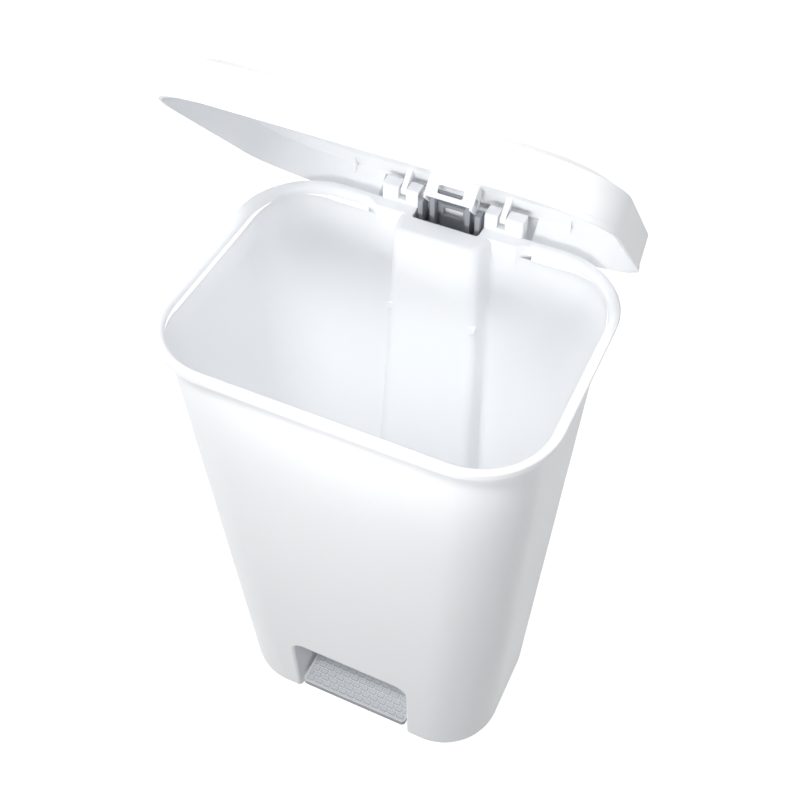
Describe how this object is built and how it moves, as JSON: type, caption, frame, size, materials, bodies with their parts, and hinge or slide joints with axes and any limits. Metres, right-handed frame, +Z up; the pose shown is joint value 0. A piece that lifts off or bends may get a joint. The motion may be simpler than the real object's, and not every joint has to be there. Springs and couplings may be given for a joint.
{
  "type": "pedal trash can",
  "caption": "Tall white step-on kitchen can: tapered tub, hinged shallow lid held open, grey tread pedal, push rod and lifter.",
  "frame": {"origin": "on the floor under the centre of the rim, in the can's resting face", "axes": "+Z up, +X to the right seen from the front, +Y to the back where the lid is hinged"},
  "size_m": [0.417, 0.3399, 0.8749],
  "materials": {
    "white_plastic": "satin",
    "grey_plastic": "matte",
    "dark_plastic": "matte",
    "steel": "brushed",
    "rubber": "matte"
  },
  "bodies": {
    "can": {"can_body": "white_plastic", "rear_cover": "white_plastic", "rear_cover_screws": "steel", "hinge_pin_left": "steel", "hinge_pin_right": "steel", "rod_guide_lower": "grey_plastic", "rod_guide_upper": "grey_plastic", "pedal_axle": "steel", "axle_cap_left": "grey_plastic", "axle_cap_right": "grey_plastic", "axle_cap_screws": "steel"},
    "lid": {"lid_shell": "white_plastic", "lifter_socket": "white_plastic"},
    "lifter": {"push_rod": "steel", "lifter_head": "dark_plastic", "lifter_bar": "grey_plastic", "head_roll_pin": "steel", "rod_foot": "grey_plastic"},
    "pedal": {"pedal_lever": "grey_plastic", "pedal_tread": "grey_plastic", "tread_screws": "steel", "link_pin": "steel", "pedal_stop_pad": "rubber"}
  },
  "joints": [
    {"name": "lid_hinge", "type": "hinge", "parent": "can", "child": "lid", "pos_m": [0, 0.159, 0.6305], "axis": [-1, 0, 0], "range_deg": [-48.4, 0]},
    {"name": "rod_slide", "type": "slide", "parent": "can", "child": "lifter", "axis": [0, 0.0561, 0.9984], "range_m": [-0.01585, 0]},
    {"name": "pedal_hinge", "type": "hinge", "parent": "can", "child": "pedal", "pos_m": [0, 0.04261, 0.022], "axis": [1, 0, 0], "range_deg": [-18.2, 0]}
  ],
  "couplings": [
    {"joint": "rod_slide", "follows": "lid_hinge", "m_per_rad": 0.018733},
    {"joint": "pedal_hinge", "follows": "lid_hinge", "ratio": 0.37565}
  ]
}
